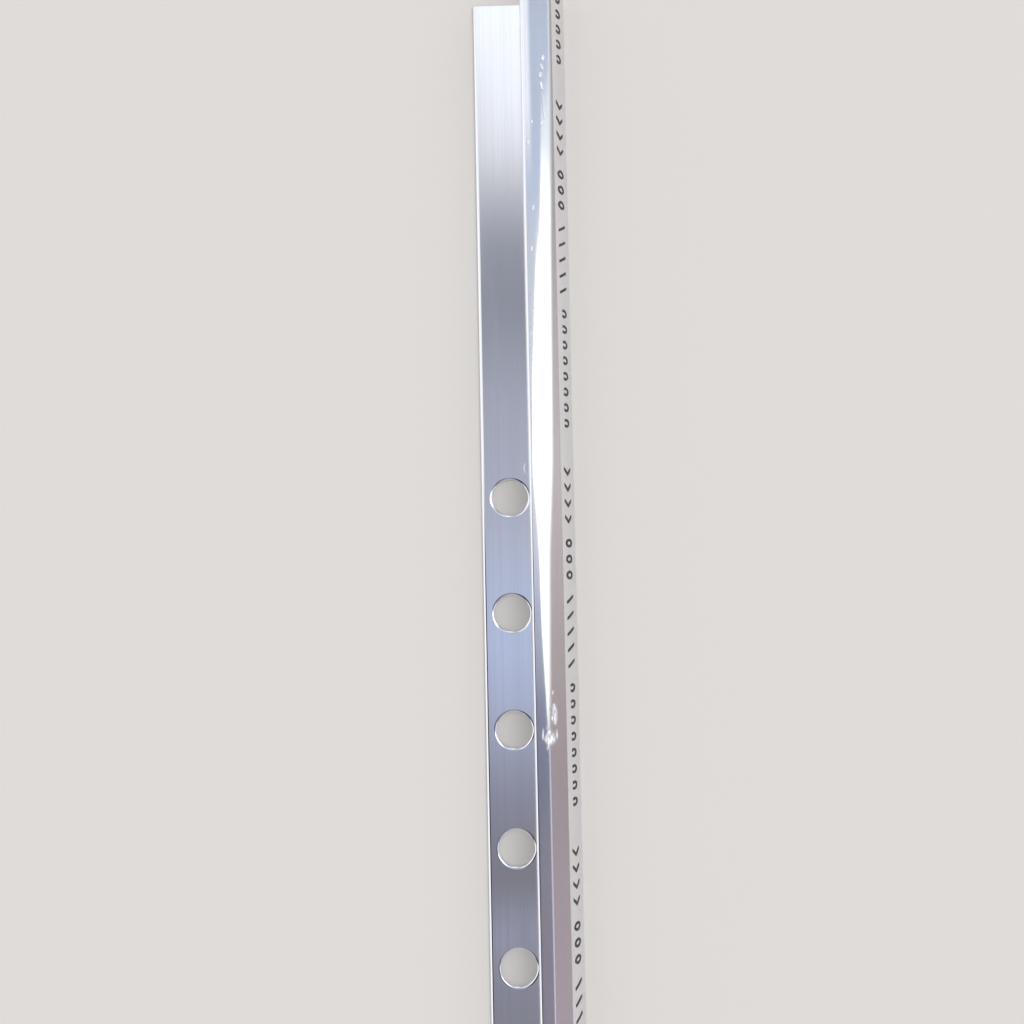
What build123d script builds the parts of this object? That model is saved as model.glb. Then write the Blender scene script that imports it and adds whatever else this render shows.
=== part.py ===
from build123d import *
import math
import os

# Quarter-round aluminium tile trim strip with its clear peel-off film, in millimetres.
# X runs across the strip: the perforated leg points to -X and the rounded face to +X.
# Y runs along the strip and Z is up. The origin is under the middle of the strip, on its
# underside. The section is drawn with x = 0 at the nose that the tiles butt against.

# The strip as a whole
trim_length = 2500.0
face_radius = 12.5  # of the quarter-round, and so also the strip's height
leg_reach = 13.3  # from the nose to the leg's free edge

# Walls of the extrusion
face_wall = 1.0
nose_height = 1.5
web_setback = 1.5  # from the nose back to the upright web
web_wall = 1.0
leg_wall = 1.0
toe_width = 2.6  # the foot under the outer edge of the face
toe_wall = 1.0

# Radii where the walls meet and end
root_radius = 0.5
nose_radius = 0.8
leg_edge_radius = 0.75  # along the top of the leg's free edge
edge_radius = 0.2

# Punched holes in the leg
hole_radius = 5.0
hole_pitch = 32.0
hole_from_nose = 5.4  # from the nose to the line of centres
first_hole = 140.5  # from the end at +Y to the first centre
plain_end = 120.0  # least length left unpunched at the end at -Y

# Clear film on the face
film_wall = 0.08
film_from_nose = 1.0  # bare metal between the nose and the film
film_from_floor = 0.9  # bare metal between the film and the floor

section_shift = (leg_reach - face_radius) / 2  # brings the middle of the width to x = 0
inner_radius = face_radius - face_wall
web_back = web_setback + web_wall


def height_on_circle(radius, x):
    """Height of a circle about the section's origin at a distance x across it."""
    return math.sqrt(radius**2 - x**2)


def arc_between(radius, start, end):
    """Shorter arc of a circle about the section's origin, from one point to another."""
    middle = (Vector(*start) + Vector(*end)).normalized() * radius
    return ThreePointArc(start, (middle.X, middle.Y), end)


def profile_section():
    """The extrusion's section: leg, web, nose, quarter-round wall and toe."""
    leg_tip, leg_tip_top = (-leg_reach, 0), (-leg_reach, leg_wall)
    leg_root, web_foot = (web_setback, leg_wall), (web_back, 0)
    web_top = (web_back, height_on_circle(inner_radius, web_back))
    toe_root = (height_on_circle(inner_radius, toe_wall), toe_wall)
    toe_top, toe_inside = (face_radius - toe_width, toe_wall), (face_radius - toe_width, 0)
    toe_outside = (face_radius, 0)
    nose_top, nose_under = (0, face_radius), (0, face_radius - nose_height)
    web_corner = (web_setback, face_radius - nose_height)
    tip_rounding = min(leg_edge_radius, 0.95 * (leg_wall - edge_radius))
    with BuildSketch() as section:
        with BuildLine():
            Polyline(leg_tip, web_foot, web_top)
            arc_between(inner_radius, web_top, toe_root)
            Polyline(toe_root, toe_top, toe_inside, toe_outside)
            arc_between(face_radius, toe_outside, nose_top)
            Polyline(nose_top, nose_under, web_corner, leg_root, leg_tip_top, leg_tip)
        make_face()
        rounded = [
            (root_radius, [leg_root, web_corner, web_top, toe_root]),
            (nose_radius, [nose_top]),
            (tip_rounding, [leg_tip_top]),
            (edge_radius, [nose_under, leg_tip, web_foot, toe_outside, toe_inside, toe_top]),
        ]
        for radius, corners in rounded:
            fillet([section.vertices().sort_by_distance(corner)[0] for corner in corners], radius)
    return section.sketch


def film_section():
    """A skin on the quarter-round, from beside the nose to above the floor."""
    outer = face_radius + film_wall
    start = math.degrees(math.asin(film_from_floor / face_radius))
    stop = math.degrees(math.acos(film_from_nose / face_radius))
    with BuildSketch() as section:
        with BuildLine():
            skin = CenterArc((0, 0), face_radius, start, stop - start)
            cover = CenterArc((0, 0), outer, start, stop - start)
            Line(skin @ 0, cover @ 0)
            Line(skin @ 1, cover @ 1)
        make_face()
    return section.sketch


def along_strip(section):
    """Extrude a section drawn across the strip over the strip's whole length."""
    standing = Plane.XZ * Pos(section_shift, 0) * section
    return extrude(standing, trim_length / 2, both=True)


def leg_holes():
    """The drills of the leg's round holes, in one row parallel to the nose."""
    punched = trim_length - first_hole - plain_end
    count = int(punched // hole_pitch) + 1
    across = section_shift - hole_from_nose
    drill = Cylinder(hole_radius, 4 * leg_wall)
    return [Pos(across, trim_length / 2 - first_hole - i * hole_pitch, 0) * drill for i in range(count)]


def trim_profile():
    return along_strip(profile_section()) - leg_holes()


def protective_film():
    return along_strip(film_section())


os.makedirs("parts", exist_ok=True)
for name, shape in {"trim_profile": trim_profile(), "protective_film": protective_film()}.items():
    shape.label = name
    export_step(shape, f"parts/{name}.step")
    print(name, "volume", round(shape.volume, 1), "box", shape.bounding_box().min, shape.bounding_box().max)
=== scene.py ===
import math
import random

import bmesh
import bpy
from bpy.props import FloatProperty, FloatVectorProperty, IntProperty, PointerProperty
from mathutils import Matrix, Vector


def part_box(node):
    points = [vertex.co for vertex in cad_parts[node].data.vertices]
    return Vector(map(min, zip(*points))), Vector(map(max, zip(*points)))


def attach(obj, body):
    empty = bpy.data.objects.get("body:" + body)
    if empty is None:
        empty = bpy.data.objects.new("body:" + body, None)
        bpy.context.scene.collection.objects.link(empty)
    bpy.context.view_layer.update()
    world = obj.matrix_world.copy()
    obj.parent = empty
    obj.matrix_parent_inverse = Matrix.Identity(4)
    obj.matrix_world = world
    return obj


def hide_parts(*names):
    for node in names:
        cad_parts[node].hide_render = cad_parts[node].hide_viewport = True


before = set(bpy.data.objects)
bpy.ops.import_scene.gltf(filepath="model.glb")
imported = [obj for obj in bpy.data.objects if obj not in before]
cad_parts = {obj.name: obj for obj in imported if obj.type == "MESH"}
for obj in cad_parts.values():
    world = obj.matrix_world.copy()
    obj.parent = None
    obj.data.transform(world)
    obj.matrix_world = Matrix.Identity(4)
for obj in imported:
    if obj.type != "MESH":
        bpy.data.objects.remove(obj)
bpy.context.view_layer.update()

# A quarter-round aluminium tile trim strip with a clear printed film on its face.
# Metres throughout. X runs across the strip, Y along it and Z up, as in the packed model.

bl_info = {
    "name": "Tile Trim Strip",
    "version": (1, 0, 0),
    "blender": (4, 5, 0),
    "location": "View3D > Sidebar > Tile Trim",
    "description": "Models a perforated quarter-round tile trim with its protective film",
    "category": "Add Mesh",
}

MM = 0.001
CLOSE = 0.01 * MM  # two places nearer than this are the same place
METAL_LOW, METAL_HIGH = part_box("trim_profile")
FILM_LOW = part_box("protective_film")[0]


class TrimSizes(bpy.types.PropertyGroup):
    """Sizes of the aluminium extrusion."""

    length: FloatProperty(
        name="Length", description="Length of the strip", unit="LENGTH",
        default=METAL_HIGH.y - METAL_LOW.y)
    face_radius: FloatProperty(
        name="Face radius", description="Outer radius of the quarter-round face", unit="LENGTH",
        default=12.5 * MM)
    leg_reach: FloatProperty(
        name="Leg reach", description="From the nose to the leg's free edge", unit="LENGTH",
        default=13.3 * MM)
    wall: FloatProperty(
        name="Wall", description="Thickness of the leg, web, face and toe", unit="LENGTH",
        default=1.0 * MM)
    nose_height: FloatProperty(
        name="Nose height", description="Height of the flat that tiles butt against",
        unit="LENGTH", default=1.5 * MM)
    web_setback: FloatProperty(
        name="Web setback", description="From the nose back to the upright web", unit="LENGTH",
        default=1.5 * MM)
    toe_width: FloatProperty(
        name="Toe width", description="Foot under the outer edge of the face", unit="LENGTH",
        default=2.6 * MM)
    root_radius: FloatProperty(
        name="Root radius", description="Fillet where two walls meet", unit="LENGTH",
        default=0.5 * MM)
    nose_radius: FloatProperty(
        name="Nose radius", description="Rounding between the nose and the face", unit="LENGTH",
        default=0.8 * MM)
    leg_edge_radius: FloatProperty(
        name="Leg edge radius", description="Rounding along the top of the leg's free edge",
        unit="LENGTH", default=0.75 * MM)
    leg_edge_width: FloatProperty(
        name="Leg edge width", description="How far that rounding reaches over the leg's top",
        unit="LENGTH", default=0.95 * MM)
    edge_radius: FloatProperty(
        name="Edge radius", description="Rounding of the other free edges", unit="LENGTH",
        default=0.2 * MM)


class HoleSizes(bpy.types.PropertyGroup):
    """Sizes of the row of punched holes."""

    radius: FloatProperty(
        name="Radius", description="Radius of a punched hole", unit="LENGTH", default=5.0 * MM)
    pitch: FloatProperty(
        name="Pitch", description="From one hole to the next", unit="LENGTH", default=32.0 * MM)
    from_nose: FloatProperty(
        name="From nose", description="From the nose to the line of centres", unit="LENGTH",
        default=5.4 * MM)
    first: FloatProperty(
        name="First hole", description="From the strip's end to the first centre", unit="LENGTH",
        default=140.5 * MM)
    count: IntProperty(name="Count", description="Number of holes in the row", default=70)
    roll_width: FloatProperty(
        name="Roll-over width", description="Width of the edge that the punch drew down",
        unit="LENGTH", default=0.7 * MM)
    roll_depth: FloatProperty(
        name="Roll-over depth", description="Depth of the edge that the punch drew down",
        unit="LENGTH", default=0.35 * MM)


class FilmSizes(bpy.types.PropertyGroup):
    """Sizes of the clear film on the face."""

    wall: FloatProperty(
        name="Film wall", description="Thickness of the film", unit="LENGTH", default=0.06 * MM)
    air: FloatProperty(
        name="Air", description="Air between the metal and the film", unit="LENGTH",
        default=0.02 * MM)
    from_nose: FloatProperty(
        name="From nose", description="Bare metal between the nose and the film", unit="LENGTH",
        default=1.0 * MM)
    from_floor: FloatProperty(
        name="From floor", description="Bare metal between the film and the floor", unit="LENGTH",
        default=FILM_LOW.z)


class PrintSizes(bpy.types.PropertyGroup):
    """Sizes of the marks printed on the film."""

    mark_height: FloatProperty(
        name="Mark height", description="Height of a mark, measured round the face", unit="LENGTH",
        default=3.1 * MM)
    mark_width: FloatProperty(
        name="Mark width", description="Width of a mark along the strip", unit="LENGTH",
        default=2.4 * MM)
    stroke: FloatProperty(
        name="Stroke", description="Width of a printed line", unit="LENGTH", default=0.68 * MM)
    step: FloatProperty(
        name="Step", description="From one mark to the next", unit="LENGTH", default=4.3 * MM)
    gap: FloatProperty(
        name="Gap", description="Extra space after a group of marks", unit="LENGTH",
        default=2.2 * MM)
    repeat: FloatProperty(
        name="Repeat", description="Length after which the print starts again", unit="LENGTH",
        default=101.5 * MM)
    start: FloatProperty(
        name="Start", description="Where one repeat starts along the strip", unit="LENGTH",
        default=1118.0 * MM)
    centre_angle: FloatProperty(
        name="Centre angle", description="From the top of the face to the middle of the marks",
        subtype="ANGLE", default=math.radians(57.0))
    ink: FloatProperty(
        name="Ink", description="Thickness of the ink", unit="LENGTH", default=0.012 * MM)


class FinishColours(bpy.types.PropertyGroup):
    """Colours of the finishes."""

    metal: FloatVectorProperty(
        name="Metal", description="Polished aluminium", subtype="COLOR",
        default=(0.885, 0.895, 0.92))
    metal_shade: FloatVectorProperty(
        name="Metal shade", description="Aluminium in its duller drawing lines", subtype="COLOR",
        default=(0.82, 0.82, 0.85))
    film: FloatVectorProperty(
        name="Film", description="Faint tint of the clear film", subtype="COLOR",
        default=(0.60, 0.55, 0.55))
    # Partly the haze of trapped air, partly a painted highlight: white for the light that the
    # film's blisters and creases catch
    lift_haze_and_highlight: FloatVectorProperty(
        name="Air white", description="Film where air has crept under it", subtype="COLOR",
        default=(0.90, 0.92, 0.96))
    ink: FloatVectorProperty(
        name="Ink", description="Ink of the printed marks", subtype="COLOR",
        default=(0.035, 0.033, 0.036))
    floor: FloatVectorProperty(
        name="Floor", description="Plain pale floor", subtype="COLOR",
        default=(0.62, 0.60, 0.57))


class StageSizes(bpy.types.PropertyGroup):
    """Camera, floor and light."""

    lens: FloatProperty(
        name="Lens", description="Focal length", subtype="DISTANCE_CAMERA", default=31.454)
    camera_place: FloatVectorProperty(
        name="Camera place", description="Where the camera stands", subtype="TRANSLATION",
        default=(0.01 * MM, 1094.08 * MM, 249.19 * MM))
    camera_turn: FloatVectorProperty(
        name="Camera turn", description="How the camera is turned", subtype="EULER",
        default=(math.radians(2.606), math.radians(1.092), math.radians(-1.123)))
    floor_size: FloatProperty(
        name="Floor size", description="Side of the floor", unit="LENGTH", default=24.0)
    key_strength: FloatProperty(
        name="Key strength", description="Strength of the soft light from the right",
        default=1.82)
    key_spread: FloatProperty(
        name="Key spread", description="How wide the light is in the sky, to soften shadows",
        subtype="ANGLE", default=math.radians(80.0))


GROUPS = {
    "trim_sizes": TrimSizes,
    "trim_holes": HoleSizes,
    "trim_film": FilmSizes,
    "trim_print": PrintSizes,
    "trim_finish": FinishColours,
    "trim_stage": StageSizes,
}


class Signal:
    """A socket of a node tree. Arithmetic on it adds Math nodes to that tree."""

    def __init__(self, tree, socket):
        self.tree = tree
        self.socket = socket

    def __add__(self, other):
        return self.tree.math("ADD", self, other)

    __radd__ = __add__

    def __sub__(self, other):
        return self.tree.math("SUBTRACT", self, other)

    def __rsub__(self, other):
        return self.tree.math("SUBTRACT", other, self)

    def __mul__(self, other):
        return self.tree.math("MULTIPLY", self, other)

    __rmul__ = __mul__

    def __truediv__(self, other):
        return self.tree.math("DIVIDE", self, other)

    def __abs__(self):
        return self.tree.math("ABSOLUTE", self)


class Tree:
    """Adds nodes to a material's or the world's node tree."""

    def __init__(self, owner):
        owner.use_nodes = True
        self.tree = owner.node_tree
        self.tree.nodes.clear()

    def node(self, kind, settings, inputs):
        """Add a node: its settings first, then the value or link of each socket."""
        made = self.tree.nodes.new(kind)
        for name, value in settings.items():
            if name == "stops":
                set_stops(made.color_ramp, value)
            else:
                setattr(made, name, value)
        for name, value in inputs.items():
            if isinstance(value, Signal):
                self.tree.links.new(value.socket, made.inputs[name])
            else:
                made.inputs[name].default_value = value
        return made

    def add(self, kind, settings, inputs, output=0):
        """Add a node and return one of its outputs."""
        return Signal(self, self.node(kind, settings, inputs).outputs[output])

    def math(self, operation, *values):
        return self.add("ShaderNodeMath", {"operation": operation}, dict(enumerate(values)))

    def distance(self, across, along):
        """How far a point lies from the origin of two axes at right angles."""
        return self.math("SQRT", across * across + along * along)

    def ramp_up(self, value, low, high):
        """0 below low, 1 above high, and a smooth rise between them."""
        settings = {"interpolation_type": "SMOOTHSTEP"}
        return self.add("ShaderNodeMapRange", settings, {0: value, 1: low, 2: high})

    def object_position(self):
        return self.add("ShaderNodeTexCoord", {}, {}, "Object")

    def parts(self, vector):
        """The x, y and z of a vector."""
        split = self.node("ShaderNodeSeparateXYZ", {}, {0: vector})
        return [Signal(self, output) for output in split.outputs]

    def stretched(self, position, scale, detail=2.0, offset=(0.0, 0.0, 0.0)):
        """Noise on a position that is scaled by its own number along each axis."""
        inputs = {0: position, 1: scale, 2: offset}
        place = self.add("ShaderNodeVectorMath", {"operation": "MULTIPLY_ADD"}, inputs)
        inputs = {"Vector": place, "Scale": 1.0, "Detail": detail, "Roughness": 0.55}
        return self.add("ShaderNodeTexNoise", {}, inputs)

    def mix(self, factor, first, second):
        """Blend two colours."""
        inputs = {0: factor, 6: first, 7: second}
        return self.add("ShaderNodeMix", {"data_type": "RGBA"}, inputs, 2)

    def ramp(self, value, stops):
        """A colour ramp over 0 to 1."""
        return self.add("ShaderNodeValToRGB", {"stops": stops}, {0: value})

    def bump(self, relief, depth):
        """The normal of a relief whose height of 1 is a given depth."""
        inputs = {"Strength": 1.0, "Distance": depth, "Height": relief}
        return self.add("ShaderNodeBump", {}, inputs)

    def finish(self, kind, shader):
        self.node(kind, {}, {"Surface": shader})


def set_stops(ramp, stops):
    """Give a colour ramp the stops of a list of (position, colour)."""
    while len(ramp.elements) < len(stops):
        ramp.elements.new(1.0)
    for element, (position, colour) in zip(ramp.elements, stops):
        element.position = position
        element.color = opaque(colour)


def opaque(colour):
    return (*colour, 1.0)


def settings_of(name):
    return getattr(bpy.context.scene, name)


def section_shift():
    """How far the section moves across, to bring the middle of its width to X = 0."""
    size = settings_of("trim_sizes")
    return (size.leg_reach - size.face_radius) / 2


def film_radius():
    """Radius of the film's outer side, where it lies on the metal."""
    film = settings_of("trim_film")
    return settings_of("trim_sizes").face_radius + film.air + film.wall


def leave_edit_mode():
    if bpy.context.mode != "OBJECT":
        bpy.ops.object.mode_set(mode="OBJECT")
    bpy.ops.object.select_all(action="DESELECT")


def pick(target):
    """Leave edit mode with one object selected and active."""
    leave_edit_mode()
    target.select_set(True)
    bpy.context.view_layer.objects.active = target


def edit_mesh():
    return bmesh.from_edit_mesh(bpy.context.object.data)


def select_only(kind, test):
    """Select the vertices, edges or faces of the mesh in edit mode that pass a test."""
    bpy.ops.mesh.select_mode(type={"verts": "VERT", "edges": "EDGE", "faces": "FACE"}[kind])
    bpy.ops.mesh.select_all(action="DESELECT")
    mesh = edit_mesh()
    for element in getattr(mesh, kind):
        if test(element):
            element.select_set(True)
    mesh.select_flush_mode()
    bmesh.update_edit_mesh(bpy.context.object.data)


def near(point, spots):
    """Whether a vertex lies at one of the spots (x, z) of the section."""
    return any(math.hypot(point.co.x - x, point.co.z - z) < CLOSE for x, z in spots)


def draw_along(offset):
    """Extrude what is selected by a vector."""
    bpy.ops.mesh.extrude_region_move(TRANSFORM_OT_translate={"value": offset})


def point_outwards():
    """Turn every face of the mesh in edit mode to the outside."""
    bpy.ops.mesh.select_all(action="SELECT")
    bpy.ops.mesh.normals_make_consistent(inside=False)


def cut(place, facing, **side):
    """Cut the whole mesh in edit mode along a plane, and clear a side where it is named."""
    bpy.ops.mesh.select_all(action="SELECT")
    bpy.ops.mesh.bisect(plane_co=place, plane_no=facing, **side)


def start_vertex(name, place):
    """A new mesh object in edit mode whose one vertex is selected."""
    leave_edit_mode()
    bpy.ops.mesh.primitive_plane_add(size=MM, location=place)
    bpy.context.object.name = name
    bpy.context.object.data.name = name
    bpy.ops.object.transform_apply(location=True, rotation=True, scale=True)
    bpy.ops.object.mode_set(mode="EDIT")
    bpy.ops.mesh.select_all(action="SELECT")
    bpy.ops.mesh.merge(type="CENTER")
    bpy.ops.mesh.select_mode(type="VERT")
    bpy.ops.mesh.select_all(action="SELECT")


class Section:
    """Draws an outline across the strip by extruding and spinning the newest vertex."""

    def __init__(self, name, start, y, shift):
        self.shift = shift
        self.y = y
        self.at = start
        start_vertex(name, (start[0] + shift, y, start[1]))

    def line_to(self, point):
        draw_along((point[0] - self.at[0], 0.0, point[1] - self.at[1]))
        self.at = point

    def arc_to(self, centre, angle, steps):
        """Turn about a centre to an angle, counted anticlockwise from +X towards +Z."""
        radius = math.dist(centre, self.at)
        start = math.atan2(self.at[1] - centre[1], self.at[0] - centre[0])
        bpy.ops.mesh.spin(
            steps=steps, angle=angle - start, center=(centre[0] + self.shift, self.y, centre[1]),
            axis=(0.0, 1.0, 0.0))
        self.at = (centre[0] + radius * math.cos(angle), centre[1] + radius * math.sin(angle))


def beside_upright(radius, distance, fillet):
    """Centre of a fillet between an upright at a distance and a circle about the origin."""
    across = distance + fillet
    return across, math.sqrt((radius - fillet) ** 2 - across**2)


def direction(centre):
    return math.atan2(centre[1], centre[0])


# How many straight stretches stand for each curve of the section
FACE_STEPS = 60
INNER_STEPS = 36
NOSE_STEPS = 14
LEG_EDGE_STEPS = 12
FILLET_STEPS = 6
EDGE_STEPS = 3
SECTION_WELD = 0.0001 * MM


def make_section(y):
    """The extrusion's section as one face at a place along the strip."""
    size = settings_of("trim_sizes")
    radius, wall, fillet = size.face_radius, size.wall, size.root_radius
    shift = section_shift()
    inner = radius - wall
    web_back = size.web_setback + wall
    nose_under = radius - size.nose_height
    web_fillet = beside_upright(inner, web_back, fillet)
    toe_fillet = beside_upright(inner, wall, fillet)[::-1]
    nose_fillet = beside_upright(radius, 0.0, size.nose_radius)

    pen = Section("trim_extrusion", (-size.leg_reach, 0.0), y, shift)
    pen.line_to((web_back, 0.0))
    pen.line_to((web_back, web_fillet[1]))
    pen.arc_to(web_fillet, direction(web_fillet), FILLET_STEPS)
    pen.arc_to((0.0, 0.0), direction(toe_fillet), INNER_STEPS)
    pen.arc_to(toe_fillet, math.radians(-90.0), FILLET_STEPS)
    pen.line_to((radius - size.toe_width, wall))
    pen.line_to((radius - size.toe_width, 0.0))
    pen.line_to((radius, 0.0))
    pen.arc_to((0.0, 0.0), direction(nose_fillet), FACE_STEPS)
    pen.arc_to(nose_fillet, math.radians(180.0), NOSE_STEPS)
    pen.line_to((0.0, nose_under))
    pen.line_to((size.web_setback, nose_under))
    pen.line_to((size.web_setback, wall))
    pen.line_to((-size.leg_reach, wall))
    bpy.ops.mesh.select_all(action="SELECT")
    bpy.ops.mesh.remove_doubles(threshold=SECTION_WELD)
    bpy.ops.mesh.edge_face_add()

    roundings = [
        (size.leg_edge_radius, LEG_EDGE_STEPS, [(-size.leg_reach, wall)]),
        (fillet, FILLET_STEPS, [(size.web_setback, wall), (size.web_setback, nose_under)]),
        (size.edge_radius, EDGE_STEPS, [
            (-size.leg_reach, 0.0), (web_back, 0.0), (radius, 0.0), (0.0, nose_under),
            (radius - size.toe_width, 0.0), (radius - size.toe_width, wall)]),
    ]
    for amount, segments, corners in roundings:
        spots = [(x + shift, z) for x, z in corners]
        select_only("verts", lambda vertex: near(vertex, spots))
        bpy.ops.mesh.bevel(offset=amount, segments=segments, affect="VERTICES", profile=0.5)

    # The rounding of the leg's free edge is drawn out over the leg's top
    edge = shift - size.leg_reach
    select_only("verts", lambda vertex: vertex.co.x < edge + size.leg_edge_radius + CLOSE
                and vertex.co.z > wall - size.leg_edge_radius - CLOSE)
    bpy.ops.transform.resize(
        value=(size.leg_edge_width / size.leg_edge_radius, 1.0, 1.0),
        center_override=(edge, y, 0.0))
    return bpy.context.object


HOLE_SIDES = 64
# Degrees of the quarter turn at which the roll-over's curve gets a ring
ROLL_TURNS = (0, 12, 24, 36, 48, 60, 72, 82)
PUNCH_SPARE = 0.02 * MM  # how far the punch stands out of the leg's top


def make_punch(across, y):
    """A round punch that flares at the top of the leg, to draw down a hole's edge."""
    hole = settings_of("trim_holes")
    wall = settings_of("trim_sizes").wall
    leave_edit_mode()
    bpy.ops.mesh.primitive_circle_add(
        vertices=HOLE_SIDES, radius=hole.radius, fill_type="NGON",
        location=(across, y, -wall))
    punch = bpy.context.object
    bpy.ops.object.transform_apply(location=True, rotation=True, scale=True)
    bpy.ops.object.mode_set(mode="EDIT")
    bpy.ops.mesh.select_all(action="SELECT")
    radius, height = hole.radius, -wall
    rings = []
    for degrees in ROLL_TURNS:
        turn = math.radians(degrees)
        rings.append((
            hole.radius + hole.roll_width * (1 - math.cos(turn)),
            wall - hole.roll_depth * (1 - math.sin(turn))))
    slope = (rings[-1][1] - rings[-2][1]) / (rings[-1][0] - rings[-2][0])
    clear = wall - rings[-1][1] + PUNCH_SPARE
    rings.append((rings[-1][0] + clear / slope, rings[-1][1] + clear))
    for ring_radius, ring_height in rings:
        draw_along((0.0, 0.0, ring_height - height))
        scale = ring_radius / radius
        bpy.ops.transform.resize(
            value=(scale, scale, 1.0), center_override=(across, y, ring_height))
        radius, height = ring_radius, ring_height
    point_outwards()
    leave_edit_mode()
    return punch


def apply_modifier(target, kind, settings):
    """Add a modifier with its settings and apply it."""
    pick(target)
    modifier = target.modifiers.new(kind.title(), kind)
    for name, value in settings.items():
        setattr(modifier, name, value)
    bpy.ops.object.modifier_apply(modifier=modifier.name)


def repeat_along(target, count, step, weld=0.0):
    """Repeat a mesh towards -Y, and join each copy to the next where a weld is given."""
    apply_modifier(target, "ARRAY", {
        "count": count, "use_relative_offset": False, "use_constant_offset": True,
        "constant_offset_displace": (0.0, -step, 0.0),
        "use_merge_vertices": weld > 0.0, "merge_threshold": weld})


def open_rim(y):
    """Select the edges of an open end of the mesh in edit mode."""
    select_only("edges", lambda edge: edge.is_boundary and all(
        abs(vertex.co.y - y) < CLOSE for vertex in edge.verts))


def shade(target, degrees):
    pick(target)
    bpy.ops.object.shade_smooth_by_angle(angle=math.radians(degrees))


def dress(target, slot, material, *nodes):
    """Give a finished piece its material, and tie it to the packed model."""
    target.data.materials.clear()
    target.data.materials.append(material)
    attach(target, "root")
    if nodes:
        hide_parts(*nodes)


# The scratch on the leg, close to the nose and before the first hole: the middle (x, y) and
# radius of the arc that it follows, and how far it fades across and along
SCRATCH_CENTRE = (1.9 * MM, 1117.4 * MM)
SCRATCH_RADIUS = 2.75 * MM
SCRATCH_WIDTH = (0.04 * MM, 0.16 * MM)
SCRATCH_LENGTH = (1.2 * MM, 1.9 * MM)

# How fine each noise is across, along and up the strip, in waves to the metre
DRAWN_LINES = (2600.0, 1.6, 2600.0)
DRAWN_HAIRS = (9000.0, 7.0, 9000.0)
DRAWN_BANDS = (420.0, 0.7, 420.0)
METAL_SMEARS = (150.0, 22.0, 150.0)
SAW_MARKS = (300.0, 40.0, 5200.0)
FILM_STREAKS = (900.0, 2.0, 900.0)
FILM_CLOUDS = (160.0, 30.0, 160.0)
FILM_PATCHES = (2400.0, 600.0, 2400.0)
FILM_RIPPLES = (1400.0, 60.0, 1400.0)
INK_SPECKS = (1800.0, 1800.0, 1800.0)
INK_PATCHES = (300.0, 120.0, 300.0)

# Depth of the fine relief of the metal and of the film
METAL_GRAIN = 0.0016 * MM
FILM_GRAIN = 0.003 * MM

# How squarely a face looks along the strip where it starts to be sawn, and where it all is
SAWN_FACING = (0.6, 0.9)
DRAWN_ROUGHNESS = 0.08
SAWN_ROUGHNESS = 0.32

# How far off the metal the film starts to turn white, and where it is white: partly the haze of
# trapped air, partly a painted highlight for the light that blisters and creases catch
HAZE_AND_HIGHLIGHT_LIFT = (0.02 * MM, 0.15 * MM)
FILM_ROUGHNESS = 0.28

WORN_INK = (0.16, 0.15, 0.16)
INK_ROUGHNESS = 0.42


def aluminium():
    """Mill-polished aluminium with fine drawing lines along the strip and sawn ends."""
    colours = settings_of("trim_finish")
    material = bpy.data.materials.new("aluminium")
    tree = Tree(material)
    position = tree.object_position()
    lines = tree.stretched(position, DRAWN_LINES, 4.0)
    hairs = tree.stretched(position, DRAWN_HAIRS, 2.0, (3.1, 0.0, 7.7))
    bands = tree.stretched(position, DRAWN_BANDS, 1.0, (11.0, 4.0, 2.0))
    smears = tree.stretched(position, METAL_SMEARS, 3.0, (5.0, 1.0, 9.0))
    x, y, z = tree.parts(position)
    normal = tree.add("ShaderNodeNewGeometry", {}, {}, "Normal")
    sawn = tree.ramp_up(abs(tree.parts(normal)[1]), *SAWN_FACING)
    saw_marks = tree.stretched(position, SAW_MARKS, 3.0)
    beside, along = x - SCRATCH_CENTRE[0], y - SCRATCH_CENTRE[1]
    off_arc = abs(tree.distance(beside, along) - SCRATCH_RADIUS)
    on_arc = 1 - tree.ramp_up(off_arc, *SCRATCH_WIDTH)
    in_length = 1 - tree.ramp_up(abs(along), *SCRATCH_LENGTH)
    on_leg = (1 - tree.ramp_up(x, 0.0, 0.1 * MM)) * (1 - tree.ramp_up(z, 1.1 * MM, 1.3 * MM))
    scratch = on_arc * in_length * on_leg

    dull = tree.ramp_up(lines * 0.5 + bands * 0.5, 0.36, 0.72) * 0.6
    tint = tree.mix(dull, opaque(colours.metal), opaque(colours.metal_shade))
    drawn = DRAWN_ROUGHNESS + 0.06 * dull + 0.04 * tree.ramp_up(smears, 0.45, 0.75)
    roughness = drawn * (1 - sawn) + SAWN_ROUGHNESS * sawn
    relief = (lines * 0.55 + hairs * 0.45) * (1 - sawn) + saw_marks * sawn * 4.0 + scratch * 25.0
    bump = tree.bump(relief, METAL_GRAIN)
    shader = tree.add("ShaderNodeBsdfPrincipled", {}, {
        "Base Color": tint, "Metallic": 1.0, "Roughness": roughness, "Normal": bump})
    tree.finish("ShaderNodeOutputMaterial", shader)
    return material


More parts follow.
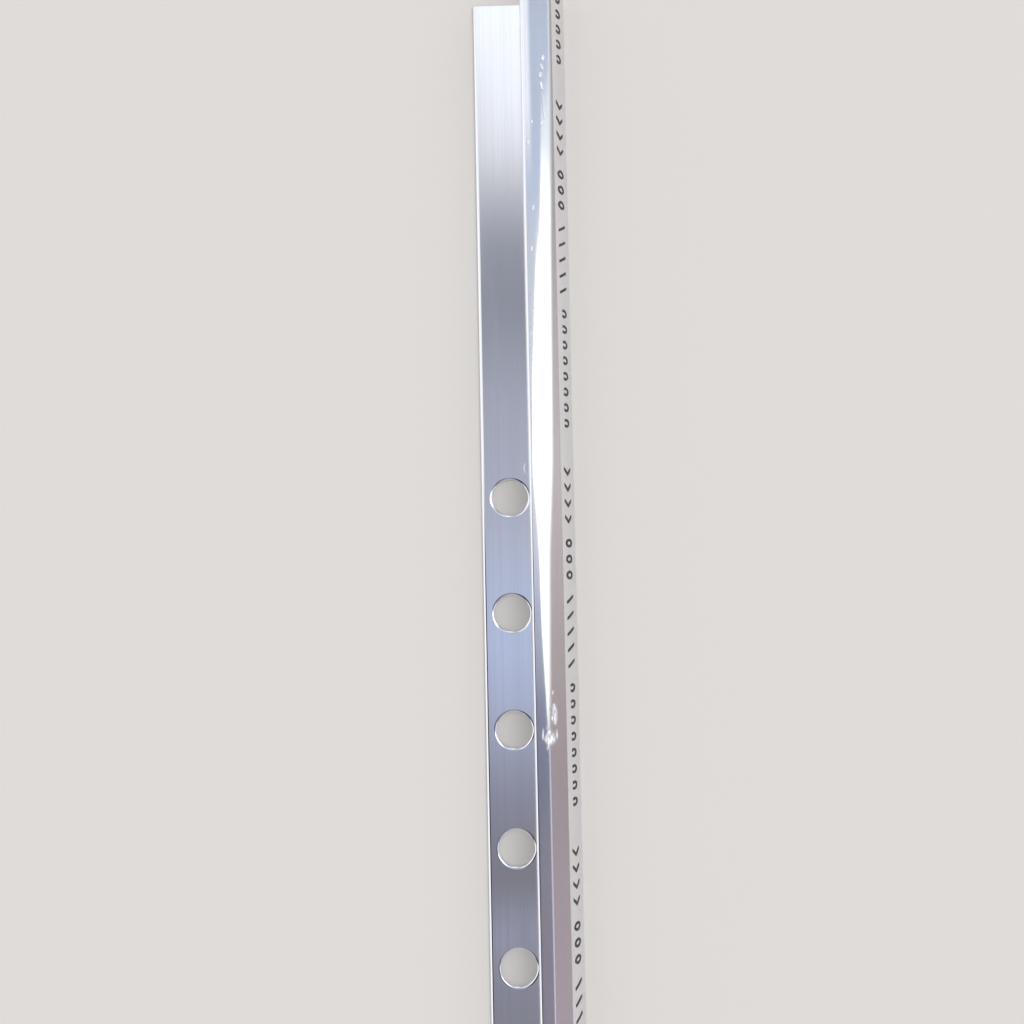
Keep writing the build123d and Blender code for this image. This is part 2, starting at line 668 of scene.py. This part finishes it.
def clear_film():
    """Thin clear plastic that turns white where it has lifted off the metal: partly the haze of
    trapped air, partly a painted highlight.
    """
    colours = settings_of("trim_finish")
    material = bpy.data.materials.new("clear_film")
    tree = Tree(material)
    position = tree.object_position()
    x, _, z = tree.parts(position)
    height = tree.distance(x - section_shift(), z) - film_radius()
    lifted = tree.ramp_up(height, *HAZE_AND_HIGHLIGHT_LIFT)
    streaks = tree.stretched(position, FILM_STREAKS, 3.0, (1.0, 6.0, 3.0))
    clouds = tree.stretched(position, FILM_CLOUDS, 3.0, (8.0, 2.0, 5.0))
    patches = tree.stretched(position, FILM_PATCHES, 2.0, (4.0, 9.0, 2.0))
    clinging = 0.42 + 0.5 * tree.ramp_up(patches, 0.42, 0.58)
    haze = 0.05 + 0.02 * streaks + 0.02 * clouds
    alpha = haze * (1 - lifted) + clinging * lifted
    # Painted highlight: lifted film is tinted white and made more opaque for the light its
    # blisters and creases catch, on top of the haze of trapped air
    white = tree.ramp_up(lifted, 0.0, 0.5)
    tint = tree.mix(white, opaque(colours.film), opaque(colours.lift_haze_and_highlight))
    bump = tree.bump(tree.stretched(position, FILM_RIPPLES, 2.0), FILM_GRAIN)
    shader = tree.add("ShaderNodeBsdfPrincipled", {}, {
        "Base Color": tint, "Roughness": FILM_ROUGHNESS + 0.1 * clouds, "IOR": 1.5,
        "Alpha": alpha, "Normal": bump})
    tree.finish("ShaderNodeOutputMaterial", shader)
    return material


def print_ink():
    """Dark ink, a little worn and uneven."""
    colours = settings_of("trim_finish")
    material = bpy.data.materials.new("print_ink")
    tree = Tree(material)
    position = tree.object_position()
    specks = tree.stretched(position, INK_SPECKS, 3.0)
    patches = tree.stretched(position, INK_PATCHES, 2.0, (2.0, 2.0, 2.0))
    thin = tree.ramp_up(specks * 0.6 + patches * 0.4, 0.5, 0.72)
    tint = tree.mix(thin, opaque(colours.ink), opaque(WORN_INK))
    alpha = 0.97 - 0.3 * thin
    shader = tree.add("ShaderNodeBsdfPrincipled", {}, {
        "Base Color": tint, "Roughness": INK_ROUGHNESS + 0.2 * patches, "Alpha": alpha})
    tree.finish("ShaderNodeOutputMaterial", shader)
    return material


HOLE_WELD = 0.0005 * MM  # joins the stretches with one hole each into the whole row
END_ON = 0.99  # how squarely a face that closes an end looks along the strip

# Degrees between two faces from which the edge between them stays sharp
METAL_SHARP = 40.0
FILM_SHARP = 60.0
PRINT_SHARP = 30.0


class TRIM_OT_extrusion(bpy.types.Operator):
    """Model the perforated aluminium extrusion"""

    bl_idname = "trim.extrusion"
    bl_label = "Aluminium Extrusion"

    def execute(self, context):
        size = settings_of("trim_sizes")
        hole = settings_of("trim_holes")
        end = size.length / 2
        first = end - hole.first
        last = first - (hole.count - 1) * hole.pitch
        top, bottom = first + hole.pitch / 2, last - hole.pitch / 2

        trim = make_section(top)
        select_only("faces", lambda face: True)
        draw_along((0.0, -hole.pitch, 0.0))
        point_outwards()
        punch = make_punch(section_shift() - hole.from_nose, first)
        apply_modifier(trim, "BOOLEAN", {
            "object": punch, "operation": "DIFFERENCE", "solver": "EXACT"})
        bpy.data.objects.remove(punch)

        bpy.ops.object.mode_set(mode="EDIT")
        ends = (top, top - hole.pitch)
        select_only("faces", lambda face: abs(face.normal.y) > END_ON and any(
            abs(vertex.co.y - y) < CLOSE for vertex in face.verts for y in ends))
        bpy.ops.mesh.delete(type="FACE")
        repeat_along(trim, hole.count, hole.pitch, HOLE_WELD)

        bpy.ops.object.mode_set(mode="EDIT")
        for start, stop in ((top, end), (bottom, -end)):
            open_rim(start)
            draw_along((0.0, stop - start, 0.0))
            open_rim(stop)
            bpy.ops.mesh.edge_face_add()
        point_outwards()
        shade(trim, METAL_SHARP)
        apply_modifier(trim, "WEIGHTED_NORMAL", {"keep_sharp": True, "weight": 80})
        dress(trim, "aluminium", aluminium(), "trim_profile")
        return {"FINISHED"}


# Where the film has crept off the metal: a place along the strip, the degrees from the top of
# the face, half sizes along and round the face, a slant in radians, and the lift at the middle.
# Lengths are in millimetres.
BLISTERS = [
    (1228.8, 29.0, 0.80, 0.58, 0.3, 0.17),
    (1226.2, 27.0, 0.95, 0.46, -0.5, 0.15),
    (1223.8, 25.2, 0.85, 0.56, 0.2, 0.17),
    (1220.9, 26.0, 1.20, 0.52, -0.2, 0.15),
    (1217.5, 27.3, 2.10, 0.22, -0.14, 0.12),
    (1213.4, 28.8, 2.30, 0.20, -0.10, 0.11),
    (1210.2, 25.4, 0.60, 0.42, 0.0, 0.15),
    (1210.5, 12.5, 0.60, 0.34, 0.0, 0.13),
    (1204.6, 7.4, 0.75, 0.34, 0.0, 0.14),
    (1186.8, 11.8, 0.90, 0.34, 0.1, 0.15),
    (1175.6, 9.0, 0.85, 0.36, 0.0, 0.14),
    (1142.0, 4.9, 17.0, 0.20, 0.0, 0.10),
    (1057.2, 23.8, 1.00, 0.40, 0.1, 0.09),
    (1053.0, 25.2, 1.60, 0.70, -0.12, 0.12),
    (1050.9, 24.2, 1.30, 0.75, 0.2, 0.13),
    (1049.4, 27.0, 1.00, 0.45, 0.3, 0.10),
    (1048.2, 15.5, 1.00, 0.35, 0.0, 0.08),
    (1046.6, 17.5, 1.10, 0.60, 0.4, 0.14),
    (1045.5, 21.8, 1.00, 0.85, -0.3, 0.17),
    (1044.7, 18.3, 1.10, 1.00, 0.0, 0.18),
    (1045.2, 25.2, 0.85, 0.55, 0.2, 0.11),
    (1043.0, 16.0, 0.85, 0.42, 0.2, 0.12),
    (1051.2, 26.0, 2.80, 1.05, 0.0, 0.105),
    (1045.3, 20.0, 2.20, 2.10, 0.0, 0.095),
    (1046.6, 10.5, 1.70, 0.30, 0.05, 0.13),
    (1046.2, 28.2, 1.60, 0.34, 0.0, 0.12),
    (1045.3, 13.6, 0.90, 0.50, 0.2, 0.13),
]

# Stretches where the film is crumpled: the middle along the strip, the half length, the
# degrees from the top of the face at the middle, the half width in degrees, the number of
# creases, their greatest slant and the highest lift.
CRUMPLES = [
    (1049.0, 6.5, 21.0, 6.0, 7, 0.5, 0.07),
    (1156.5, 7.5, 8.5, 3.8, 14, 0.25, 0.10),
]
CREASE_SEED = 31
CREASE_HALF_LENGTHS = (0.6, 1.9)
CREASE_HALF_WIDTHS = (0.18, 0.32)
CREASE_LIFTS = (0.45, 1.0)  # as shares of the stretch's highest lift


def crease_list():
    """Creases scattered over the crumpled stretches, the same on every run."""
    draw = random.Random(CREASE_SEED)
    creases = []
    for middle, half_length, angle, half_angle, count, slant, lift in CRUMPLES:
        for _ in range(count):
            turn = draw.uniform(0.0, 2 * math.pi)
            spread = math.sqrt(draw.random())
            creases.append((
                middle + half_length * spread * math.cos(turn),
                angle + half_angle * spread * math.sin(turn),
                draw.uniform(*CREASE_HALF_LENGTHS),
                draw.uniform(*CREASE_HALF_WIDTHS),
                draw.uniform(-slant, slant),
                lift * draw.uniform(*CREASE_LIFTS)))
    return creases


# Stretches that get the film's rows close together: start, stop, and from row to row
FINE_ROWS = [
    (1208.0, 1231.0, 0.3), (1184.0, 1189.0, 0.3), (1173.5, 1177.5, 0.3),
    (1202.5, 1206.5, 0.3), (1148.0, 1165.0, 0.3), (1038.5, 1058.5, 0.25)]
PLAIN_STEP = 10.0 * MM
LEAST_STEP = 0.05 * MM
LEAST_REST = 0.5 * MM  # least room for one more row before the end


def film_rows(size):
    """Places along the strip for the film's rows: close together where it is creased."""
    end = size.length / 2
    fine = [(low * MM, high * MM, step * MM) for low, high, step in FINE_ROWS]
    rows = []
    y = -end
    while y < end - LEAST_REST:
        rows.append(y)
        step = next((step for low, high, step in fine if low <= y < high), 0.0)
        if not step:
            ahead = [low - y for low, high, step in fine if low > y]
            step = min([PLAIN_STEP, end - y] + ahead)
        y += max(step, LEAST_STEP)
    rows.append(end)
    return rows


def blister_lift(y, angle, radius, blisters):
    """How far the film stands off at a place along the strip and round the face."""
    lift = 0.0
    for middle, at, half_length, half_width, slant, high in blisters:
        along = y / MM - middle
        # Nothing is lifted this far beside a blister, whatever its slant
        if abs(along) > 3 * half_length + 1.0:
            continue
        round_face = math.radians(angle - at) * radius / MM
        turned = (along * math.cos(slant) + round_face * math.sin(slant)) / half_length
        beside = (round_face * math.cos(slant) - along * math.sin(slant)) / half_width
        lift = max(lift, high * math.exp(-(turned**4) - beside**2))
    return lift * MM


# The film's section has short parts from the nose down to this angle above the floor, where
# it is blistered, and longer ones below
BLISTERED_TO = math.radians(52.0)
SHORT_PARTS = 34
LONG_PARTS = 16


class TRIM_OT_film(bpy.types.Operator):
    """Model the clear film on the quarter-round face"""

    bl_idname = "trim.film"
    bl_label = "Protective Film"

    def execute(self, context):
        size = settings_of("trim_sizes")
        film = settings_of("trim_film")
        shift = section_shift()
        inside = size.face_radius + film.air
        near_nose = math.acos(film.from_nose / size.face_radius)
        near_floor = math.asin(film.from_floor / size.face_radius)
        rows = film_rows(size)

        start = (inside * math.cos(near_nose), inside * math.sin(near_nose))
        pen = Section("peel_film", start, rows[0], shift)
        pen.arc_to((0.0, 0.0), BLISTERED_TO, SHORT_PARTS)
        pen.arc_to((0.0, 0.0), near_floor, LONG_PARTS)
        bpy.ops.mesh.select_mode(type="EDGE")
        bpy.ops.mesh.select_all(action="SELECT")
        for here, there in zip(rows, rows[1:]):
            draw_along((0.0, there - here, 0.0))
        blisters = BLISTERS + crease_list()
        mesh = edit_mesh()
        for vertex in mesh.verts:
            x, z = vertex.co.x - shift, vertex.co.z
            angle = math.degrees(math.atan2(x, z))
            lift = blister_lift(vertex.co.y, angle, size.face_radius, blisters)
            stretch = 1 + lift / inside
            vertex.co.x = shift + x * stretch
            vertex.co.z = z * stretch
        bmesh.update_edit_mesh(bpy.context.object.data)
        point_outwards()
        sheet = bpy.context.object
        face_outwards()
        apply_modifier(sheet, "SOLIDIFY", {"thickness": film.wall, "offset": 1.0})
        shade(sheet, FILM_SHARP)
        dress(sheet, "clear_film", clear_film(), "protective_film")
        return {"FINISHED"}


def face_outwards():
    """Turn an open sheet's faces over if they look down into the metal."""
    mesh = edit_mesh()
    mesh.faces.ensure_lookup_table()
    if mesh.faces[0].normal.z < 0:
        bpy.ops.mesh.select_all(action="SELECT")
        bpy.ops.mesh.flip_normals()


# One repeat of the print: what each mark is, in groups with a wider gap after each.
PRINT_GROUPS = [
    ["chevron"] * 4,
    ["ring"] * 3,
    ["slash"] * 5,
    ["arch"] * 8,
]

# How much wider than a stroke each slanting mark is cut, so that its arms keep their width
SLANT_WIDTH = {"chevron": 1.35, "slash": 1.15}

ROUND_SIDES = 20
# Shares of a mark's height, from its middle: where an arch stands open, the cuts that let a
# mark bend round the face, and how far from a chevron's tip the middle of its arms lies
ARCH_FOOT = -0.24
BEND_CUTS = (-0.34, -0.17, 0.0, 0.17, 0.34)
ARM_MIDDLE = 0.25


def flat_mark(kind):
    """One mark lying flat: its height along X and its width along Y."""
    marks = settings_of("trim_print")
    height, width, stroke = marks.mark_height, marks.mark_width, marks.stroke
    leave_edit_mode()
    round_mark = kind in ("ring", "arch")
    if round_mark:
        bpy.ops.mesh.primitive_circle_add(vertices=ROUND_SIDES, radius=0.5, fill_type="NGON")
        size = (height, width, 1.0)
    else:
        stroke *= SLANT_WIDTH[kind]
        bpy.ops.mesh.primitive_plane_add(size=1.0)
        size = (height, stroke, 1.0)
    mark = bpy.context.object
    mark.scale = size
    bpy.ops.object.transform_apply(location=True, rotation=True, scale=True)
    bpy.ops.object.mode_set(mode="EDIT")
    bpy.ops.mesh.select_all(action="SELECT")
    if round_mark:
        bpy.ops.mesh.inset(thickness=stroke)
        bpy.ops.mesh.delete(type="FACE")
    if kind == "arch":
        cut((ARCH_FOOT * height, 0.0, 0.0), (1.0, 0.0, 0.0), clear_inner=True)
    for share in BEND_CUTS:
        cut((share * height, 0.0, 0.0), (1.0, 0.0, 0.0))
    for vertex in edit_mesh().verts:
        if kind == "chevron":
            vertex.co.y += (abs(vertex.co.x) / height - ARM_MIDDLE) * (width - stroke) * 2
        if kind == "slash":
            vertex.co.y += vertex.co.x / height * (width - stroke)
    leave_edit_mode()
    return mark


def print_row():
    """All the marks of one repeat, flat, joined into one mesh that starts at Y = 0."""
    marks = settings_of("trim_print")
    models = {kind: flat_mark(kind) for kind in ("chevron", "ring", "slash", "arch")}
    copies = []
    y = -marks.step / 2
    for group in PRINT_GROUPS:
        for kind in group:
            copy = models[kind].copy()
            copy.data = models[kind].data.copy()
            copy.data.transform(Matrix.Translation((0.0, y, 0.0)))
            bpy.context.scene.collection.objects.link(copy)
            copies.append(copy)
            y -= marks.step
        y -= marks.gap
    for model in models.values():
        bpy.data.objects.remove(model)
    leave_edit_mode()
    for copy in copies:
        copy.select_set(True)
    bpy.context.view_layer.objects.active = copies[0]
    bpy.ops.object.join()
    row = bpy.context.object
    row.name = "film_print"
    row.data.name = "film_print"
    return row


PRINT_SHORT = 0.05 * MM  # from the strip's end to the last place that is printed


class TRIM_OT_print(bpy.types.Operator):
    """Print the row of marks on the film"""

    bl_idname = "trim.print"
    bl_label = "Printed Marks"

    def execute(self, context):
        marks = settings_of("trim_print")
        shift = section_shift()
        end = settings_of("trim_sizes").length / 2 - PRINT_SHORT
        row = print_row()
        before = math.ceil((end - marks.start) / marks.repeat)
        repeats = before + math.ceil((end + marks.start) / marks.repeat)
        row.data.transform(Matrix.Translation((0.0, marks.start + before * marks.repeat, 0.0)))
        repeat_along(row, repeats, marks.repeat)
        bpy.ops.object.mode_set(mode="EDIT")
        for side in (1.0, -1.0):
            cut((0.0, side * end, 0.0), (0.0, side, 0.0), clear_outer=True)
        radius = film_radius() + marks.ink / 2
        for vertex in edit_mesh().verts:
            angle = marks.centre_angle + vertex.co.x / radius
            vertex.co.x = shift + radius * math.sin(angle)
            vertex.co.z = radius * math.cos(angle)
        bmesh.update_edit_mesh(row.data)
        point_outwards()
        select_only("faces", lambda face: face.normal.x < 0)
        bpy.ops.mesh.flip_normals()
        apply_modifier(row, "SOLIDIFY", {"thickness": marks.ink, "offset": 1.0})
        shade(row, PRINT_SHARP)
        dress(row, "print_ink", print_ink())
        return {"FINISHED"}


FLOOR_FINISH = {"Roughness": 0.75, "Specular IOR Level": 0.2}
KEY_COLOUR = (1.0, 0.97, 0.92)
KEY_PLACE = (1.25, -0.35, 2.0)
SENSOR_WIDTH = 36.0
NEAREST_SEEN = 0.01


class TRIM_OT_stage(bpy.types.Operator):
    """Set up the floor, the soft light and the camera"""

    bl_idname = "trim.stage"
    bl_label = "Stage"

    def execute(self, context):
        stage = settings_of("trim_stage")
        colours = settings_of("trim_finish")
        leave_edit_mode()
        bpy.ops.mesh.primitive_plane_add(size=stage.floor_size, location=(0.0, 0.0, 0.0))
        floor = bpy.context.object
        floor.name = "floor"
        material = bpy.data.materials.new("floor")
        tree = Tree(material)
        inputs = {"Base Color": opaque(colours.floor), **FLOOR_FINISH}
        shader = tree.add("ShaderNodeBsdfPrincipled", {}, inputs)
        tree.finish("ShaderNodeOutputMaterial", shader)
        floor.data.materials.append(material)

        set_world(context.scene)

        lamp = bpy.data.lights.new("key", "SUN")
        lamp.energy = stage.key_strength
        lamp.angle = stage.key_spread
        lamp.color = KEY_COLOUR
        key = bpy.data.objects.new("key", lamp)
        key.location = KEY_PLACE
        key.rotation_euler = key.location.to_track_quat("Z", "Y").to_euler()
        key.visible_glossy = False
        context.scene.collection.objects.link(key)

        eye = bpy.data.cameras.new("camera")
        eye.lens = stage.lens
        eye.sensor_width = SENSOR_WIDTH
        eye.clip_start = NEAREST_SEEN
        camera = bpy.data.objects.new("camera", eye)
        camera.location = stage.camera_place
        camera.rotation_euler = stage.camera_turn
        context.scene.collection.objects.link(camera)
        context.scene.camera = camera
        context.scene.view_settings.view_transform = "Standard"
        return {"FINISHED"}


# The sky is laid out by reach and lean. A reach is the part of a direction that points along
# the strip, and a lean is in degrees from overhead to the right. A ramp holds reaches from
# -RAMP_REACH to RAMP_REACH, and a lean as a share of RAMP_LEAN.
RAMP_REACH = 0.9
RAMP_LEAN = 100.0


def on_ramp(reach):
    """Place of a reach on a ramp from 0 to 1."""
    return (reach + RAMP_REACH) / (2 * RAMP_REACH)


def along_stops(stops):
    """A ramp's stops from a list of (reach, colour)."""
    return [(on_ramp(reach), colour) for reach, colour in stops]


def lean_stops(stops):
    """A ramp's stops from a list of (reach, lean)."""
    return [(on_ramp(reach), (lean / RAMP_LEAN,) * 3) for reach, lean in stops]


# Colours of the daylight at its reaches, as the polished metal shows them
OVERHEAD = [
    (-0.80, (0.55, 0.56, 0.58)), (-0.58, (0.25, 0.25, 0.30)), (-0.43, (0.26, 0.26, 0.315)),
    (-0.385, (0.35, 0.365, 0.47)), (-0.34, (0.215, 0.207, 0.232)),
    (-0.25, (0.29, 0.30, 0.38)), (-0.16, (0.46, 0.50, 0.67)), (-0.10, (0.50, 0.58, 0.78)),
    (0.0, (0.485, 0.53, 0.67)), (0.05, (0.45, 0.47, 0.575)), (0.16, (0.41, 0.43, 0.52)),
    (0.27, (0.28, 0.297, 0.35)), (0.33, (0.31, 0.325, 0.385)), (0.37, (0.50, 0.51, 0.57)),
    (0.41, (0.73, 0.73, 0.76)), (0.45, (0.78, 0.78, 0.80)), (0.52, (1.10, 1.12, 1.15)),
    (0.58, (1.10, 1.12, 1.15)), (0.68, (0.40, 0.41, 0.44)), (0.85, (0.50, 0.51, 0.53))]
LEFT_OF_WINDOW = [
    (-0.80, (0.60, 0.61, 0.63)), (-0.58, (0.19, 0.18, 0.25)), (-0.41, (0.175, 0.16, 0.23)),
    (-0.33, (0.17, 0.17, 0.24)), (-0.25, (0.10, 0.13, 0.22)), (-0.17, (0.16, 0.19, 0.31)),
    (-0.12, (0.35, 0.40, 0.51)), (-0.07, (0.42, 0.48, 0.62)), (0.0, (0.66, 0.70, 0.86)),
    (0.2, (0.70, 0.74, 0.84)), (0.32, (0.65, 0.70, 0.81)), (0.39, (0.54, 0.65, 0.84)),
    (0.52, (0.53, 0.63, 0.81)), (0.60, (0.40, 0.45, 0.55)), (0.70, (0.20, 0.20, 0.22)),
    (0.85, (0.50, 0.51, 0.53))]
RIGHT_OF_WINDOW = [
    (-0.80, (0.65, 0.65, 0.66)), (-0.58, (0.38, 0.32, 0.36)), (-0.45, (0.38, 0.315, 0.355)),
    (-0.25, (0.32, 0.26, 0.275)), (-0.10, (0.43, 0.36, 0.355)), (0.10, (0.60, 0.54, 0.525)),
    (0.30, (0.46, 0.43, 0.42)), (0.52, (0.26, 0.25, 0.24)), (0.85, (0.50, 0.50, 0.50))]
WINDOW = (2.3, 2.35, 2.4)
WINDOW_FAR = (1.0, 1.06, 1.13)
FAR_END = (1.08, 1.13, 1.23)
GLINT = (0.66, 0.60, 0.72)
BACKDROP = (0.86, 0.86, 0.855)
# Left of overhead: a strip that is dark near by and bright farther off, and bright below it
LEFT_ABOVE = [
    (-0.80, (0.60, 0.61, 0.63)), (-0.58, (0.02, 0.02, 0.035)), (-0.02, (0.02, 0.02, 0.035)),
    (0.10, (1.0, 1.0, 1.02)), (0.36, (1.0, 1.0, 1.02)), (0.45, (0.95, 1.0, 1.08)),
    (0.56, (0.95, 1.0, 1.08)), (0.70, (0.20, 0.20, 0.22)), (0.85, (0.50, 0.51, 0.53))]
LEFT_BELOW = [
    (-0.80, (0.60, 0.61, 0.63)), (-0.62, (0.12, 0.12, 0.13)), (-0.50, (1.15, 1.15, 1.17)),
    (0.54, (1.15, 1.15, 1.17)), (0.66, (0.12, 0.12, 0.13)), (0.85, (0.50, 0.51, 0.53))]
# Leans of the window's two sides at their reaches
WINDOW_LEFT = [
    (-0.21, 37.0), (-0.15, 31.0), (-0.08, 24.0), (0.0, 22.0), (0.035, 18.0), (0.09, 9.0),
    (0.20, 14.0), (0.31, 28.0), (0.345, 41.0), (0.45, 51.0), (0.475, 76.0), (0.6, 80.0)]
WINDOW_RIGHT = [
    (-0.21, 37.0), (-0.15, 44.0), (0.0, 51.0), (0.1, 65.0), (0.33, 74.0), (0.45, 85.0),
    (0.6, 87.0)]

# Leans between which one part of the sky blends into the next
RIGHT_SIDE = (0.0, 9.0)
FAR_END_IN = (-6.0, 2.0)
FAR_END_OUT = (17.0, 28.0)
# The same on the left side, in degrees from overhead to the left
LEFT_ABOVE_IN = (5.0, 10.0)
LEFT_BELOW_IN = (33.0, 38.0)
# Reaches between which a part starts or stops
FAR_END_REACH = (0.38, 0.46)
WINDOW_FAR_REACH = (0.34, 0.43)
GLINT_REACH = (-0.24, -0.17)
# Degrees from the window's left or right side between which it or the wall starts or stops
WALL_IN = (0.0, 8.0)
WINDOW_IN = (-1.5, 2.5)
WINDOW_OUT = (-12.0, 4.0)
# Lean of the glint's middle, and how far from it the glint fades
GLINT_LEAN = 38.5
GLINT_FADE = (0.8, 3.0)


def set_world(scene):
    """Soft daylight: a dim ceiling, a bright far end and a tall bright window on the right."""
    world = bpy.data.worlds.new("daylight")
    scene.world = world
    tree = Tree(world)
    x, y, z = tree.parts(tree.add("ShaderNodeTexCoord", {}, {}, "Generated"))
    along = on_ramp(y)
    lean = tree.math("ARCTAN2", x, z) * (180.0 / math.pi)
    overhead = tree.ramp(along, along_stops(OVERHEAD))
    near_side = tree.ramp(along, along_stops(LEFT_OF_WINDOW))
    far_side = tree.ramp(along, along_stops(RIGHT_OF_WINDOW))
    above_left = tree.ramp(along, along_stops(LEFT_ABOVE))
    below_left = tree.ramp(along, along_stops(LEFT_BELOW))
    left = tree.ramp(along, lean_stops(WINDOW_LEFT)) * RAMP_LEAN
    right = tree.ramp(along, lean_stops(WINDOW_RIGHT)) * RAMP_LEAN

    sky = tree.mix(tree.ramp_up(lean, *RIGHT_SIDE), overhead, near_side)
    far_end = tree.ramp_up(y, *FAR_END_REACH) * (1 - tree.ramp_up(lean, *FAR_END_OUT))
    sky = tree.mix(far_end * tree.ramp_up(lean, *FAR_END_IN), sky, opaque(FAR_END))
    sky = tree.mix(tree.ramp_up(lean - left, *WALL_IN), sky, far_side)
    glint = 1 - tree.ramp_up(abs(lean - GLINT_LEAN), *GLINT_FADE)
    sky = tree.mix(glint * (1 - tree.ramp_up(y, *GLINT_REACH)), sky, opaque(GLINT))
    window = tree.ramp_up(lean - left, *WINDOW_IN) * (
        1 - tree.ramp_up(lean - right, *WINDOW_OUT))
    far_pane = tree.ramp_up(y, *WINDOW_FAR_REACH)
    sky = tree.mix(window, sky, tree.mix(far_pane, opaque(WINDOW), opaque(WINDOW_FAR)))
    lean_left = -1.0 * lean
    sky = tree.mix(tree.ramp_up(lean_left, *LEFT_ABOVE_IN), sky, above_left)
    sky = tree.mix(tree.ramp_up(lean_left, *LEFT_BELOW_IN), sky, below_left)
    ray = tree.add("ShaderNodeLightPath", {}, {}, "Is Camera Ray")
    colour = tree.mix(ray, sky, opaque(BACKDROP))
    tree.finish("ShaderNodeOutputWorld", tree.add("ShaderNodeBackground", {}, {"Color": colour}))


class TRIM_PT_panel(bpy.types.Panel):
    """The strip's pieces and sizes"""

    bl_label = "Tile Trim"
    bl_idname = "TRIM_PT_panel"
    bl_space_type = "VIEW_3D"
    bl_region_type = "UI"
    bl_category = "Tile Trim"

    def draw(self, context):
        for operator in OPERATORS:
            self.layout.operator(operator.bl_idname)
        for name, group in GROUPS.items():
            box = self.layout.box()
            box.label(text=group.__doc__)
            for size in group.__annotations__:
                box.prop(getattr(context.scene, name), size)


OPERATORS = [TRIM_OT_extrusion, TRIM_OT_film, TRIM_OT_print, TRIM_OT_stage]
CLASSES = [*GROUPS.values(), *OPERATORS, TRIM_PT_panel]


def register():
    for item in CLASSES:
        bpy.utils.register_class(item)
    for name, group in GROUPS.items():
        setattr(bpy.types.Scene, name, PointerProperty(type=group))


def unregister():
    for name in GROUPS:
        delattr(bpy.types.Scene, name)
    for item in reversed(CLASSES):
        bpy.utils.unregister_class(item)


def main():
    register()
    bpy.ops.trim.extrusion()
    bpy.ops.trim.film()
    bpy.ops.trim.print()
    bpy.ops.trim.stage()


if __name__ == "__main__":
    main()
